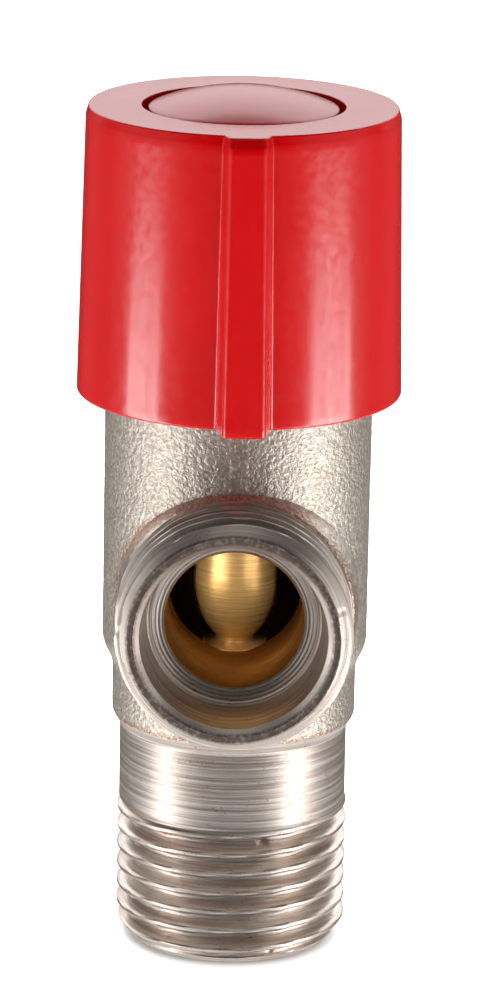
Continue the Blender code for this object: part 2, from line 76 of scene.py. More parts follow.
# Sizes read from the frame.
BARREL_RADIUS = millimetres("body", 1, "y")
BARREL_TOP = millimetres("body", 1, "z")
OUTLET_REACH = -millimetres("body", 0, "y")
KNOB_TOP = millimetres("knob", 1, "z")
KNOB_BASE = millimetres("knob", 0, "z")
KNOB_BASE_RADIUS = millimetres("knob", 1, "y")
POINTER_BASE_REACH = -millimetres("knob", 0, "y") - KNOB_BASE_RADIUS
CAP_RADIUS = millimetres("knob_cap", 1, "x")
CAP_APEX = millimetres("knob_cap", 1, "z")
CAP_FOOT = millimetres("knob_cap", 0, "z")
PLUNGER_RADIUS = millimetres("plunger", 1, "x")
PLUNGER_BASE = millimetres("plunger", 0, "z")
PLUNGER_TOP = millimetres("plunger", 1, "z")
PLUNGER_FOOT_RADIUS = millimetres("seat_disc", 1, "x")

# Body, from the inlet's end up.
INLET_CHAMFER_RADIUS = 8.97
INLET_THREAD_TOP = 13.3
NECK_RADIUS = 10.34
NECK_TOP = 20.2
FOOT_BASE = 21.4
FOOT_RADIUS = 11.05
FOOT_TOP = 26.1
BARREL_BASE = 28.1
OUTLET_HEIGHT = 34.0

# Outlet branch, from the valve's axis out.
BRANCH_INNER = 5.0
BRANCH_THREAD_START = 8.5
BRANCH_THREAD_BLEND = 1.2
COLLAR_SHOULDER = 11.6
COLLAR_FRONT = 13.1

# Passages.
INLET_BORE = 6.5
INLET_BORE_DEPTH = 16.5
ORIFICE = 3.0
SEAT_TOP = 25.7
GUIDE_BORE = 4.35
CHAMBER_FLOOR = 45.0
CHAMBER_BORE = 9.0
OUTLET_RIM = 9.3
POCKET_MOUTH = 8.8
POCKET_RADIUS = 8.2
SHOULDER_RADIUS = 7.72
SHOULDER_DEPTH = 5.7
PORT_RADIUS = 6.15
PORT_RIM_DEPTH = 6.3
PORT_END_RADIUS = 6.0
PORT_DEPTH = 17.0
DRILL_HALF_ANGLE = 59.0

# The body's finishes, in the order of its material slots.
BLASTED, TURNED, FACED, BORE, SHADED = range(5)

# Plunger's round nose and O-ring groove.
NOSE_TOP = 34.6
NOSE_LENGTH = 6.8
NOSE_TIP_RADIUS = 1.7
GROOVE_LOW = 41.15
GROOVE_HIGH = 42.25
GROOVE_RADIUS = 3.25
STEM_SOCKET = 2.3
STEM_SOCKET_FLOOR = 38.7
SCREW_HOLE = 1.1
SCREW_HOLE_DEPTH = 5.0

# Knob.
KNOB_TOP_RADIUS = 14.0
KNOB_FOOT_FILLET = 0.3
KNOB_LIP = 0.9
KNOB_LIP_LEAN = 0.2
KNOB_EDGE = 0.2
KNOB_WALL = 1.5
KNOB_CEILING = 73.5
HUB_RADIUS = 4.9
HUB_BASE = 70.2
HUB_FLOOR = 72.7
SCREW_POCKET = 4.4
CAP_RECESS = 9.03
CAP_RECESS_FLOOR = 75.0
CAP_RIM = 77.1
POINTER_ANGLE = -90 + 1.85
POINTER_TOP_WIDTH = 4.0
POINTER_BASE_WIDTH = 4.6
POINTER_TOP_REACH = 1.2
POINTER_FRONT_SHARE = 0.80
POINTER_FOOT = 0.12
POINTER_SKIRT = 0.35
POINTER_FILLET = 0.5
POINTER_COLUMNS = 72

# Camera, in millimetres and degrees.
CAMERA_PLACE = (1.18, -442.9, 165.1)
CAMERA_PITCH = 74.35
CAMERA_ROLL = 1.077
CAMERA_LENS = 183.3
CAMERA_SENSOR = 36.0

# Brightness of the studio round the object. The wall behind it gets brighter towards its top.
ROOM = 0.065
WALL_FOOT = 0.6
WALL_CLIMB = 6.2
SIDE_WALLS = 0.19
SIDE_GLOW = 0.72
TABLE = 1.0
CEILING = 0.6

# The level direction of the side walls' glow, as its parts aside and forward.
GLOW_ASIDE = 0.951
GLOW_FORWARD = 0.309

# The upright strip lights, in metres. The sheen lights lie over them and show only in the red plastic.
STRIP_DISTANCE = 0.25
STRIP_HEIGHT = 0.32
STRIP_TOP = 0.010
STRIP_RADIANCE = 3.5
SHEEN_RADIANCE = 36.0

# The cards inside the outlet, in metres.
PORT_CARD_SIZE = (0.010, 0.012)
PORT_CARD_SIDE = 0.0056
PORT_CARD_REACH = 0.0105


# ---------------------------------------------------------------- mesh tools


def rounded(corners, steps=6):
    """The polyline through (x, y, fillet) corners, its filleted corners turned into curves."""
    points = []
    for index, (x, y, fillet) in enumerate(corners):
        corner = np.array((x, y))
        if not fillet or index in (0, len(corners) - 1):
            points.append(corner)
            continue
        before = np.array(corners[index - 1][:2]) - corner
        after = np.array(corners[index + 1][:2]) - corner
        reach = min(fillet, 0.49 * np.linalg.norm(before), 0.49 * np.linalg.norm(after))
        start = corner + before / np.linalg.norm(before) * reach
        end = corner + after / np.linalg.norm(after) * reach
        for step in range(steps + 1):
            share = step / steps
            points.append((1 - share) ** 2 * start + 2 * share * (1 - share) * corner + share**2 * end)
    return np.array(points)


def subdivided(points, longest):
    """The same polyline with no stretch longer than the given length."""
    made = [points[0]]
    for start, end in zip(points, points[1:]):
        count = max(1, math.ceil(np.linalg.norm(end - start) / longest))
        made += [start + (end - start) * (i + 1) / count for i in range(count)]
    return np.array(made)


def grain(rows, columns, size, step, seed):
    """A random field of unit spread on a grid, round in angle, with features of one size."""
    noise = np.random.default_rng(seed).normal(size=(rows, columns))
    along = np.fft.fftfreq(rows)[:, None]
    across = np.fft.fftfreq(columns)[None, :]
    frequency = np.hypot(along, across) * size / step
    field = np.fft.ifft2(np.fft.fft2(noise) * frequency * np.exp(-((frequency) ** 2))).real
    return field / field.std()


def grid_object(name, grid, poles=(False, False), ring=False):
    """A closed object from rows of points round an axis; a pole row shrinks to its one point."""
    rows, columns = grid.shape[:2]
    points = []
    index = np.zeros((rows, columns), int)
    for row in range(rows):
        if (row == 0 and poles[0]) or (row == rows - 1 and poles[1]):
            index[row] = len(points)
            points.append(grid[row].mean(0))
        else:
            index[row] = len(points) + np.arange(columns)
            points.extend(grid[row])
    following = np.roll(index, -1, axis=1)
    faces = []
    last = rows if ring else rows - 1
    for row in range(last):
        upper = (row + 1) % rows
        quads = np.stack([index[row], following[row], following[upper], index[upper]], axis=1)
        if row == 0 and poles[0]:
            quads = quads[:, [0, 2, 3]]
        elif upper == rows - 1 and poles[1]:
            quads = quads[:, :3]
        faces += quads.tolist()
    mesh = bpy.data.meshes.new(name)
    mesh.from_pydata([tuple(point * MM) for point in points], [], faces)
    mesh.update()
    mesh.shade_smooth()
    obj = bpy.data.objects.new(name, mesh)
    bpy.context.scene.collection.objects.link(obj)
    return obj


def turned(name, outline, columns=COLUMNS, ring=False, shape=None):
    """A turned solid. shape(radii, heights, angles) may change the radii where the outline isn't round."""
    radii = np.repeat(outline[:, :1], columns, axis=1)
    heights = np.repeat(outline[:, 1:], columns, axis=1)
    angles = np.linspace(0, 2 * math.pi, columns, endpoint=False)[None, :]
    if shape:
        radii = shape(radii, heights, angles)
    grid = np.stack([radii * np.cos(angles), radii * np.sin(angles), heights], axis=2)
    poles = (outline[0, 0] == 0, outline[-1, 0] == 0)
    return grid_object(name, grid, poles, ring)


def face_outlet(obj):
    """Turns a mesh so that its own +Z runs out along the outlet's axis."""
    place = Matrix.Translation((0, 0, OUTLET_HEIGHT * MM)) @ Matrix.Rotation(math.radians(90), 4, "X")
    obj.data.transform(place)
    return obj


def combine(target, other, operation):
    """Joins or cuts one closed mesh with another and removes the second."""
    step = target.modifiers.new("combine", "BOOLEAN")
    step.operation = operation
    step.solver = "MANIFOLD"
    step.object = other
    bpy.context.view_layer.update()
    graph = bpy.context.evaluated_depsgraph_get()
    made = bpy.data.meshes.new_from_object(target.evaluated_get(graph))
    target.modifiers.clear()
    target.data = made
    bpy.data.objects.remove(other)


def smooth_step(value):
    value = np.clip(value, 0.0, 1.0)
    return value * value * (3 - 2 * value)


# ---------------------------------------------------------------- materials


class Finish:
    """A procedural material under construction. Its helpers add one node each and return its output."""

    def __init__(self, name, colour, metallic, roughness):
        self.material = bpy.data.materials.new(name)
        self.material.use_nodes = True
        self.tree = self.material.node_tree
        self.shader = self.tree.nodes["Principled BSDF"]
        self.shader.inputs["Base Color"].default_value = (*colour, 1.0)
        self.shader.inputs["Metallic"].default_value = metallic
        self.shader.inputs["Roughness"].default_value = roughness
        self.place = self.tree.nodes.new("ShaderNodeTexCoord").outputs["Object"]
        self.normal = None

    def put(self, socket, value):
        if isinstance(value, bpy.types.NodeSocket):
            self.tree.links.new(value, socket)
        elif isinstance(value, tuple) and socket.type == "RGBA":
            socket.default_value = (*value, 1.0)
        else:
            socket.default_value = value

    def math(self, operation, first, second=0.0, clamp=False):
        node = self.tree.nodes.new("ShaderNodeMath")
        node.operation = operation
        node.use_clamp = clamp
        self.put(node.inputs[0], first)
        self.put(node.inputs[1], second)
        return node.outputs[0]

    def stretched(self, scale):
        node = self.tree.nodes.new("ShaderNodeMapping")
        self.put(node.inputs["Vector"], self.place)
        node.inputs["Scale"].default_value = scale
        return node.outputs[0]

    def noise(self, vector, scale, detail=2.0, roughness=0.5, distortion=0.0):
        node = self.tree.nodes.new("ShaderNodeTexNoise")
        self.put(node.inputs["Vector"], vector)
        node.inputs["Scale"].default_value = scale
        node.inputs["Detail"].default_value = detail
        node.inputs["Roughness"].default_value = roughness
        node.inputs["Distortion"].default_value = distortion
        return node.outputs["Fac"]

    def spots(self, vector, scale):
        node = self.tree.nodes.new("ShaderNodeTexVoronoi")
        self.put(node.inputs["Vector"], vector)
        node.inputs["Scale"].default_value = scale
        return node.outputs["Distance"]

    def between(self, value, low, high, start=0.0, end=1.0):
        """Maps low..high to start..end, held at both ends."""
        node = self.tree.nodes.new("ShaderNodeMapRange")
        self.put(node.inputs["Value"], value)
        node.inputs["From Min"].default_value = low
        node.inputs["From Max"].default_value = high
        node.inputs["To Min"].default_value = start
        node.inputs["To Max"].default_value = end
        return node.outputs["Result"]

    def mixed(self, share, first, second):
        node = self.tree.nodes.new("ShaderNodeMix")
        node.data_type = "RGBA"
        self.put(node.inputs["Factor"], share)
        # Sockets 6, 7 and 2 are this node's colours; the ones before them are for other data types.
        self.put(node.inputs[6], first)
        self.put(node.inputs[7], second)
        return node.outputs[2]

    def coordinates(self):
        node = self.tree.nodes.new("ShaderNodeSeparateXYZ")
        self.put(node.inputs[0], self.place)
        return node.outputs

    def vector(self, x, y, z):
        node = self.tree.nodes.new("ShaderNodeCombineXYZ")
        for socket, value in zip(node.inputs, (x, y, z)):
            self.put(socket, value)
        return node.outputs[0]

    def outlet_radius(self):
        """Distance from the outlet's axis."""
        x, _, z = self.coordinates()
        up = self.math("SUBTRACT", z, OUTLET_HEIGHT * MM)
        squares = self.math("ADD", self.math("MULTIPLY", x, x), self.math("MULTIPLY", up, up))
        return self.math("SQRT", squares)

    def bump(self, height, strength, distance):
        node = self.tree.nodes.new("ShaderNodeBump")
        node.inputs["Strength"].default_value = strength
        node.inputs["Distance"].default_value = distance
        self.put(node.inputs["Height"], height)
        if self.normal:
            self.put(node.inputs["Normal"], self.normal)
        self.normal = node.outputs[0]
        self.put(self.shader.inputs["Normal"], self.normal)

    def set(self, socket, value):
        self.put(self.shader.inputs[socket], value)


def blasted_nickel():
    """The forging's skin: satin nickel over a shot-blasted, slightly stained surface."""
    finish = Finish("blasted_nickel", (0.60, 0.55, 0.50), 0.94, 0.34)
    coarse = finish.noise(finish.place, 2700.0, 2.0, 0.6, 0.3)
    fine = finish.noise(finish.place, 6500.0, 2.0, 0.6)
    cloud = finish.noise(finish.place, 190.0, 3.0)
    tone = finish.mixed(finish.between(coarse, 0.36, 0.66), (0.55, 0.475, 0.40), (0.84, 0.775, 0.69))
    tone = finish.mixed(finish.between(cloud, 0.45, 0.75, 0.0, 0.35), tone, (0.50, 0.43, 0.37))
    edge = finish.math("SUBTRACT", finish.outlet_radius(), (CREST + 0.12) * MM)
    edge = finish.between(finish.math("ABSOLUTE", edge), 0.00005, 0.0005, 0.8, 0.0)
    _, along, height = finish.coordinates()
    edge = finish.math("MULTIPLY", edge, finish.between(along, -0.006, -0.002, 1.0, 0.0))
    foot = finish.math("ABSOLUTE", finish.math("SUBTRACT", height, FOOT_BASE * MM))
    foot = finish.between(foot, 0, 0.0004, 1, 0)
    stain = finish.math("MULTIPLY", finish.math("MAXIMUM", edge, foot), finish.between(fine, 0.35, 0.6), True)
    finish.set("Base Color", finish.mixed(stain, tone, (0.42, 0.17, 0.07)))
    finish.set("Roughness", finish.between(fine, 0.3, 0.7, 0.34, 0.5))
    finish.bump(coarse, 0.8, 0.00016)
    finish.bump(fine, 0.5, 0.00006)
    return finish.material


def turned_nickel(name, lines, colour, dark, roughness):
    """Machined and plated metal, with painted shade on the outlet's rim. The tool's marks cross the lines
    coordinate.
    """
    finish = Finish(name, colour, 0.9, roughness)
    across, along, rise = finish.coordinates()
    stripes = finish.math("MULTIPLY", lines(finish), 5200.0)
    weak = 55.0
    one_way = finish.math("MULTIPLY", across, weak)
    other_way = finish.math("MULTIPLY", finish.math("ADD", along, rise), weak)
    marks = finish.noise(finish.vector(one_way, stripes, other_way), 1.0, 4.0, 0.7)
    cloud = finish.noise(finish.place, 320.0, 4.0, 0.6)
    speck = finish.noise(finish.place, 3000.0, 3.0, 0.6)
    tone = finish.mixed(finish.between(marks, 0.4, 0.66), dark, colour)
    tone = finish.mixed(finish.between(cloud, 0.5, 0.72, 0.0, 0.5), tone, dark)
    stain = finish.math("MULTIPLY", finish.between(speck, 0.6, 0.72), finish.between(cloud, 0.42, 0.6), True)
    tone = finish.mixed(stain, tone, (0.34, 0.16, 0.08))
    # Painted shade: the outlet's front face is darkened, broken up by the speckle.
    painted_rim_shade = finish.between(along, (0.1 - OUTLET_REACH) * MM, (0.3 - OUTLET_REACH) * MM, 1.0, 0.0)
    painted_rim_shade = finish.math("MULTIPLY", painted_rim_shade, finish.between(speck, 0.36, 0.5, 0.3, 0.75))
    tone = finish.mixed(painted_rim_shade, tone, (0.15, 0.10, 0.075))
    finish.set("Base Color", tone)
    finish.set("Roughness", finish.between(marks, 0.3, 0.7, roughness - 0.07, roughness + 0.1))
    finish.bump(marks, 0.32, 0.00005)
    finish.bump(speck, 0.18, 0.00004)
    return finish.material


def height_above_inlet(finish):
    return finish.coordinates()[2]


def outlet_rings(finish):
    """A coordinate that grows with the distance from the outlet's axis and along it."""
    return finish.math("ADD", finish.outlet_radius(), finish.coordinates()[1])


def raw_brass(name, colour, dark, roughness, lines, metallic=1.0):
    """Unplated brass with turning marks and a brown film, which makes it less metallic."""
    finish = Finish(name, colour, metallic, roughness)
    across = finish.coordinates()[0]
    stripes = finish.math("MULTIPLY", lines(finish), 6500.0)
    marks = finish.noise(finish.vector(finish.math("MULTIPLY", across, 120.0), stripes, 0.0), 1.0, 3.0, 0.65)
    film = finish.noise(finish.place, 420.0, 4.0, 0.65, 0.6)
    spots = finish.between(finish.spots(finish.place, 900.0), 0.0, 0.13, 1.0, 0.0)
    tone = finish.mixed(finish.between(marks, 0.35, 0.68), dark, colour)
    tone = finish.mixed(finish.between(film, 0.45, 0.75, 0.0, 0.6), tone, dark)
    spots = finish.math("MULTIPLY", spots, finish.between(film, 0.5, 0.62), True)
    finish.set("Base Color", finish.mixed(spots, tone, tuple(0.35 * part for part in dark)))
    finish.set("Roughness", finish.between(film, 0.3, 0.7, roughness - 0.06, roughness + 0.12))
    finish.bump(marks, 0.25, 0.00004)
    return finish.material


def red_plastic():
    """Glossy moulded plastic with a faint flow pattern."""
    finish = Finish("red_plastic", (0.50, 0.0, 0.002), 0.0, 0.2)
    flow = finish.noise(finish.stretched((60, 60, 22)), 1.0, 4.0, 0.55, 1.2)
    fine = finish.noise(finish.place, 1300.0, 3.0, 0.6)
    tone = finish.mixed(finish.between(flow, 0.35, 0.7), (0.49, 0.0, 0.001), (0.54, 0.0002, 0.002))
    finish.set("Base Color", tone)
    finish.set("Roughness", finish.between(fine, 0.3, 0.75, 0.15, 0.24))
    finish.bump(flow, 0.08, 0.00025)
    finish.bump(fine, 0.05, 0.00003)
    finish.shader.inputs["Specular IOR Level"].default_value = 0.3
    return finish.material


def plain_finish(name, colour, metallic, roughness, scale, contrast):
    """A hidden piece's finish: a fine grain over one tone."""
    finish = Finish(name, colour, metallic, roughness)
    grains = finish.noise(finish.place, scale, 4.0, 0.6)
    darker = tuple(part * (1 - contrast) for part in colour)
    finish.set("Base Color", finish.mixed(finish.between(grains, 0.3, 0.7), darker, colour))
    finish.set("Roughness", finish.between(grains, 0.3, 0.7, roughness - 0.06, roughness + 0.08))
    finish.bump(grains, 0.2, 0.00004)
    return finish.material


# ---------------------------------------------------------------- the body


def thread_radius(heights, angles, phase, run_out):
    """Radius of a right-hand pipe thread whose grooves shallow out above the run_out height."""
    turns = (heights / PITCH - angles / (2 * math.pi) + phase) % 1.0
    ramp = SHARP_DEPTH * np.abs(2 * turns - 1) - (SHARP_DEPTH - (CREST - ROOT)) / 2
    share = np.clip(ramp / (CREST - ROOT), 0.0, 1.0)
    share = 0.55 * share + 0.45 * smooth_step(share)
    open_groove = 1 - smooth_step((heights - run_out + GROOVE_RUN_OUT) / GROOVE_RUN_OUT)
    return CREST - (CREST - ROOT) * (1 - share) * open_groove


def nicks(shape, seed):
    """Small dents, zero over most of a surface."""
    size, step, threshold, depth = 3.2, 0.17, 2.3, 0.22
    field = grain(*shape, size, step, seed)
    return np.clip(field - threshold, 0.0, 1.0) * depth


def forging_shape(radii, heights, angles):
    """Threads below, shot-blasted skin above, and the die's flash line down the front and back."""
    made = radii.copy()
    rows, columns = radii.shape
    threaded = (heights < INLET_THREAD_TOP) & (radii > 0.8 * INLET_CHAMFER_RADIUS)
    thread = thread_radius(heights, angles, INLET_THREAD_PHASE, INLET_THREAD_TOP)
    end_chamfer = INLET_CHAMFER_RADIUS + heights
    thread = np.minimum(thread, end_chamfer) - nicks(radii.shape, 5)
    blend = smooth_step((heights - (INLET_THREAD_TOP - THREAD_END_BLEND)) / THREAD_END_BLEND)
    thread = thread * (1 - blend) + np.minimum(thread, NECK_RADIUS) * blend
    made[threaded] = thread[threaded]
    skin = ((heights > FOOT_BASE - 0.1) & (heights < BARREL_TOP - 0.7)).astype(float)
    skin *= radii > NECK_RADIUS
    lumps = grain(rows, columns, 0.55, SKIN_STEP, 11) * 0.010
    lumps = lumps + grain(rows, columns, 1.8, SKIN_STEP, 12) * 0.006
    wander = grain(rows, columns, 14.0, SKIN_STEP, 13) * 0.012
    made += skin * (lumps + wander)
    half_gap, turn, width = 0.045, 0.012, 0.012
    for side, height in ((-1, 0.075), (1, 0.05)):
        for offset in (-half_gap, half_gap):
            away = np.angle(np.exp(1j * (angles - side * math.pi / 2 - offset - turn)))
            made += skin * height * np.exp(-((away / width) ** 2))
    return made


def forging():
    """The body's outside along the valve axis, from the inlet's end to the barrel's rim."""
    thread_rows = np.arange(0.0, INLET_THREAD_TOP, ROW_STEP)
    lower = [(0.0, 0.0), (INLET_CHAMFER_RADIUS * 0.9, 0.0)] + [(INLET_CHAMFER_RADIUS, z) for z in thread_rows]
    upper = rounded(
        (
            (NECK_RADIUS, INLET_THREAD_TOP, 0),
            (NECK_RADIUS, NECK_TOP, 0.25),
            (FOOT_RADIUS, FOOT_BASE, 0.35),
            (FOOT_RADIUS, FOOT_TOP, 0.7),
            (BARREL_RADIUS, BARREL_BASE, 0.7),
            (BARREL_RADIUS, BARREL_TOP, 0.6),
            (GUIDE_BORE, BARREL_TOP, 0),
        )
    )
    outline = np.array([*lower, *subdivided(upper, SKIN_STEP), (0.0, BARREL_TOP)])
    return turned("valve_body", outline, shape=forging_shape)


def branch_shape(radii, heights, angles):
    """The outlet's thread, cut short by the rim's chamfer."""
    threaded = (heights > BRANCH_THREAD_START) & (heights < OUTLET_REACH) & (radii > 0.8 * OUTLET_RIM)
    thread = thread_radius(heights, angles, OUTLET_THREAD_PHASE, OUTLET_REACH + PITCH)
    deepened = smooth_step((heights - (BRANCH_THREAD_START + 0.5)) / BRANCH_THREAD_BLEND)
    thread = CREST - (CREST - thread) * deepened
    made = np.minimum(thread, OUTLET_RIM + OUTLET_REACH - heights) - nicks(radii.shape, 7)
    return np.where(threaded, made, radii)


def branch():
    """The threaded outlet branch, from inside the barrel to its rim."""
    rows = np.arange(BRANCH_THREAD_START + 0.1, OUTLET_REACH, ROW_STEP)
    outline = [(0.0, BRANCH_INNER), (CREST, BRANCH_INNER), *[(CREST, z) for z in rows]]
    outline += [(OUTLET_RIM, OUTLET_REACH), (0.0, OUTLET_REACH)]
    return face_outlet(turned("branch", np.array(outline), shape=branch_shape))


def collar():
    """The forging's boss at the root of the branch, a little out of line with it."""
    radius = CREST + 0.22
    outline = rounded(
        (
            (0.0, BRANCH_INNER, 0),
            (radius, BRANCH_INNER, 0),
            (radius, COLLAR_SHOULDER, 0.4),
            (CREST - 0.2, COLLAR_FRONT, 0.2),
            (0.0, COLLAR_FRONT, 0),
        )
    )

    def lumpy(radii, heights, angles):
        return radii + (radii > CREST - 0.5) * grain(*radii.shape, 0.9, SKIN_STEP, 21) * 0.02

    made = turned("collar", subdivided(outline, 0.25), shape=lumpy)
    made.data.transform(Matrix.Translation((0.30 * MM, 0.28 * MM, 0)))
    return face_outlet(made)


def bores():
    """Everything drilled along the valve axis, as one cutter."""
    past = 1.0
    cone = (INLET_BORE - ORIFICE) / math.tan(math.radians(DRILL_HALF_ANGLE))
    outline = rounded(
        (
            (0.0, -past, 0),
            (INLET_BORE + 1.0 + past, -past, 0),
            (INLET_BORE, 1.0, 0.2),
            (INLET_BORE, INLET_BORE_DEPTH, 0),
            (ORIFICE, INLET_BORE_DEPTH + cone, 0),
            (ORIFICE, SEAT_TOP, 0),
            (ORIFICE + 0.4, SEAT_TOP, 0),
            (ORIFICE + 0.5, SEAT_TOP - 0.6, 0),
            (GUIDE_BORE, SEAT_TOP - 0.6, 0),
            (GUIDE_BORE, CHAMBER_FLOOR, 0),
            (CHAMBER_BORE, CHAMBER_FLOOR, 0),
            (CHAMBER_BORE, BARREL_TOP - 1.4, 0),
            (CHAMBER_BORE + 1.4 + past, BARREL_TOP + past, 0),
            (0.0, BARREL_TOP + past, 0),
        )
    )
    return turned("bores", outline, 256)


def port():
    """The outlet's pocket, ringed shoulder, bore and drill point, as one cutter."""
    past = 1.0
    front = OUTLET_REACH
    cone = PORT_END_RADIUS / math.tan(math.radians(DRILL_HALF_ANGLE))
    drill_start = front - PORT_DEPTH
    inside = rounded(
        (
            (0.0, drill_start - cone, 0),
            (PORT_END_RADIUS, drill_start, 0.15),
            (PORT_RADIUS, front - PORT_RIM_DEPTH - 0.1, 0),
        )
    )
    shares = np.linspace(0.0, 1.0, 60)
    ripple = 0.022 * np.cos(shares * 2 * math.pi * 4.5) * (shares < 0.9)
    shoulder = np.stack(
        [
            PORT_RADIUS + 0.08 + (SHOULDER_RADIUS - PORT_RADIUS - 0.08) * shares,
            front - PORT_RIM_DEPTH + (PORT_RIM_DEPTH - SHOULDER_DEPTH) * shares**2 + ripple,
        ],
        axis=1,
    )
    flare = POCKET_MOUTH - POCKET_RADIUS
    outside = rounded(
        (
            (SHOULDER_RADIUS + 0.04, front - SHOULDER_DEPTH + 0.12, 0),
            (POCKET_RADIUS - 0.1, front - flare - 0.9, 0.3),
            (POCKET_RADIUS, front - flare, 0.1),
            (POCKET_MOUTH, front, 0),
            (POCKET_MOUTH + past, front + past, 0),
            (0.0, front + past, 0),
        )
    )
    return face_outlet(turned("port", np.concatenate([inside, shoulder, outside]), 256))


def region_of(centre):
    """Which finish a place on the body has, as an index into its materials; centre is in millimetres."""
    slack = 0.05
    x, y, z = centre
    axial = math.hypot(x, y)
    outlet = math.hypot(x, z - OUTLET_HEIGHT)
    depth = OUTLET_REACH + y
    if outlet < OUTLET_RIM and y < 0 and axial > GUIDE_BORE + slack:
        if outlet < PORT_RADIUS + 0.07 and depth > PORT_RIM_DEPTH - slack:
            # The drill point at the port's far end takes the near-black brass of painted shade.
            return SHADED if depth > PORT_DEPTH - 0.02 else BORE
        if depth > 0.02 and outlet < POCKET_MOUTH + slack and axial < OUTLET_REACH and y < -5:
            return FACED
    if axial < CHAMBER_BORE + 0.02 and CHAMBER_FLOOR - slack < z < BARREL_TOP - 1:
        return BORE
    if axial < GUIDE_BORE + slack and z > INLET_BORE_DEPTH:
        return BORE
    if axial < INLET_BORE + 1.05 and z < INLET_BORE_DEPTH + 3:
        return TURNED
    if y < -5 and outlet < CREST + 0.06 and depth < OUTLET_REACH - 5:
        return FACED
    if z < FOOT_BASE - 0.25 or z > BARREL_TOP - 0.4:
        return TURNED
    return BLASTED


def make_body():
    body = forging()
    combine(body, collar(), "UNION")
    combine(body, branch(), "UNION")
    combine(body, bores(), "DIFFERENCE")
    combine(body, port(), "DIFFERENCE")
    body.data.materials.clear()
    nickel = (0.80, 0.75, 0.69)
    for material in (
        blasted_nickel(),
        turned_nickel("turned_nickel", height_above_inlet, nickel, (0.46, 0.37, 0.32), 0.36),
        turned_nickel("faced_nickel", outlet_rings, nickel, (0.48, 0.39, 0.33), 0.34),
        raw_brass("bore_brass", (0.60, 0.30, 0.06), (0.30, 0.12, 0.015), 0.34, outlet_rings, 0.6),
        # Near-black brass for the port's drill point: painted shade deep in the outlet.
        raw_brass("shaded_brass", (0.020, 0.012, 0.008), (0.008, 0.005, 0.003), 0.35, outlet_rings),
    ):
        body.data.materials.append(material)
    count = len(body.data.polygons)
    centres = np.empty(count * 3)
    body.data.polygons.foreach_get("center", centres)
    regions = [region_of(centre) for centre in centres.reshape(-1, 3) / MM]
    body.data.polygons.foreach_set("material_index", regions)
    body.data.set_sharp_from_angle(angle=math.radians(38))
    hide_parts("body")
    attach(body, "valve_body")


# ---------------------------------------------------------------- the knob


def pointer_section(radius, width, reach, corner):
    """Half angle of the pointer's foot, and its outline from one side to the other as two rows of lengths."""
    half = width / 2
    foot = half + POINTER_FOOT
    skirt = foot + POINTER_SKIRT
    front = half * POINTER_FRONT_SHARE
    corners = (
        (-skirt, math.sqrt(radius**2 - skirt**2), 0),
        (-foot, math.sqrt(radius**2 - foot**2), 0.25),
        (-front, radius + reach, corner),
        (front, radius + reach, corner),
        (foot, math.sqrt(radius**2 - foot**2), 0.25),
        (skirt, math.sqrt(radius**2 - skirt**2), 0),
    )
    line = rounded(corners, 8)
    lengths = np.concatenate([[0.0], np.cumsum(np.linalg.norm(np.diff(line, axis=0), axis=1))])
    even = np.linspace(0.0, lengths[-1], POINTER_COLUMNS)
    across = np.interp(even, lengths, line[:, 0])
    outward = np.interp(even, lengths, line[:, 1])
    return math.asin(skirt / radius), across, outward


def knob_row(radius, height, pointer):
    """One row of the knob's points. pointer is the pointer's (width, reach, corner) at this height."""
    plain = COLUMNS - POINTER_COLUMNS
    half_angle, across, outward = pointer_section(radius, *pointer)
    middle = math.radians(POINTER_ANGLE)
    rest = np.linspace(half_angle, 2 * math.pi - half_angle, plain + 2)[1:-1]
    x = np.concatenate([across, radius * np.sin(rest)])
    y = np.concatenate([outward, radius * np.cos(rest)])
    row = np.stack([x, y, np.full(len(x), height)], axis=1)
    turn = np.array(Matrix.Rotation(middle - math.pi / 2, 3, "Z")) @ np.diag([-1.0, 1.0, 1.0])
    return row @ turn.T


def pointer_at(height, shrink):
    """The pointer's width, reach and corner at a height, drawn in by its rounded ends."""
    share = (KNOB_TOP - height) / (KNOB_TOP - KNOB_BASE)
    width = POINTER_TOP_WIDTH + (POINTER_BASE_WIDTH - POINTER_TOP_WIDTH) * share
    reach = POINTER_TOP_REACH + (POINTER_BASE_REACH - POINTER_TOP_REACH) * share
    return width - shrink * 0.8, reach - shrink, POINTER_FILLET


